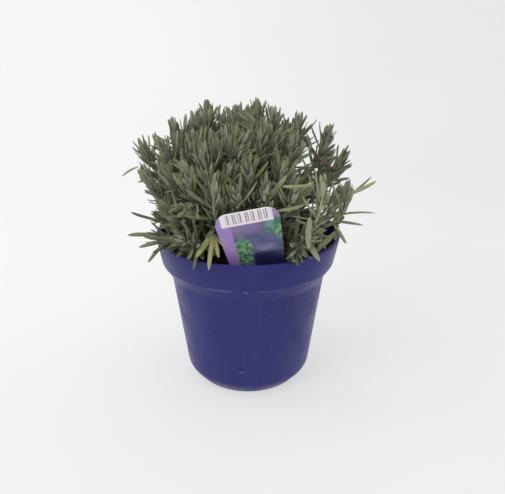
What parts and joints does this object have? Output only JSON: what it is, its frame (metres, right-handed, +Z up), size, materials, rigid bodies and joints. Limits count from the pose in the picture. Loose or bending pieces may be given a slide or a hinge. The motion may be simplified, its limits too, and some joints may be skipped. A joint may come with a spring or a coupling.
{
  "type": "potted lavender",
  "caption": "Young bushy lavender with grey-green leafy shoots, growing from a woody crown in potting soil in a round tapered plastic nursery pot, with a plain plant label.",
  "frame": {"origin": "on the pot's axis, at the level of the surface that the pot stands on", "axes": "+Z up along the pot's axis, -Y towards the front where the label stands, +X to the right seen from the front"},
  "size_m": [0.1796, 0.1509, 0.2076],
  "materials": {
    "pot": "injection moulded, blue violet, semi matt with faint scuffs",
    "potting_soil": "loose dark peat, crumbly and dull",
    "plant_label": "thin printed plastic with a white back and edge",
    "woody_crown": "rough grey-brown bark",
    "leafy_shoot": "matt grey-green with a velvety bloom"
  },
  "bodies": {
    "root": {"plant_label": "plant_label", "pot": "pot", "potting_soil": "potting_soil", "shoot_01": "leafy_shoot", "shoot_02": "leafy_shoot", "shoot_03": "leafy_shoot", "shoot_04": "leafy_shoot", "shoot_05": "leafy_shoot", "shoot_06": "leafy_shoot", "shoot_07": "leafy_shoot", "shoot_08": "leafy_shoot", "shoot_09": "leafy_shoot", "shoot_10": "leafy_shoot", "shoot_11": "leafy_shoot", "shoot_12": "leafy_shoot", "shoot_13": "leafy_shoot", "shoot_14": "leafy_shoot", "shoot_15": "leafy_shoot", "shoot_16": "leafy_shoot", "shoot_17": "leafy_shoot", "shoot_18": "leafy_shoot", "shoot_19": "leafy_shoot", "shoot_20": "leafy_shoot", "shoot_21": "leafy_shoot", "shoot_22": "leafy_shoot", "shoot_23": "leafy_shoot", "shoot_24": "leafy_shoot", "shoot_25": "leafy_shoot", "shoot_26": "leafy_shoot", "shoot_27": "leafy_shoot", "shoot_28": "leafy_shoot", "shoot_29": "leafy_shoot", "shoot_30": "leafy_shoot", "shoot_31": "leafy_shoot", "shoot_32": "leafy_shoot", "shoot_33": "leafy_shoot", "shoot_34": "leafy_shoot", "shoot_35": "leafy_shoot", "shoot_36": "leafy_shoot", "shoot_37": "leafy_shoot", "shoot_38": "leafy_shoot", "shoot_39": "leafy_shoot", "shoot_40": "leafy_shoot", "shoot_41": "leafy_shoot", "shoot_42": "leafy_shoot", "shoot_43": "leafy_shoot", "shoot_44": "leafy_shoot", "shoot_45": "leafy_shoot", "shoot_46": "leafy_shoot", "shoot_47": "leafy_shoot", "shoot_48": "leafy_shoot", "shoot_49": "leafy_shoot", "shoot_50": "leafy_shoot", "shoot_51": "leafy_shoot", "shoot_52": "leafy_shoot", "shoot_53": "leafy_shoot", "woody_crown": "woody_crown"}
  },
  "joints": []
}
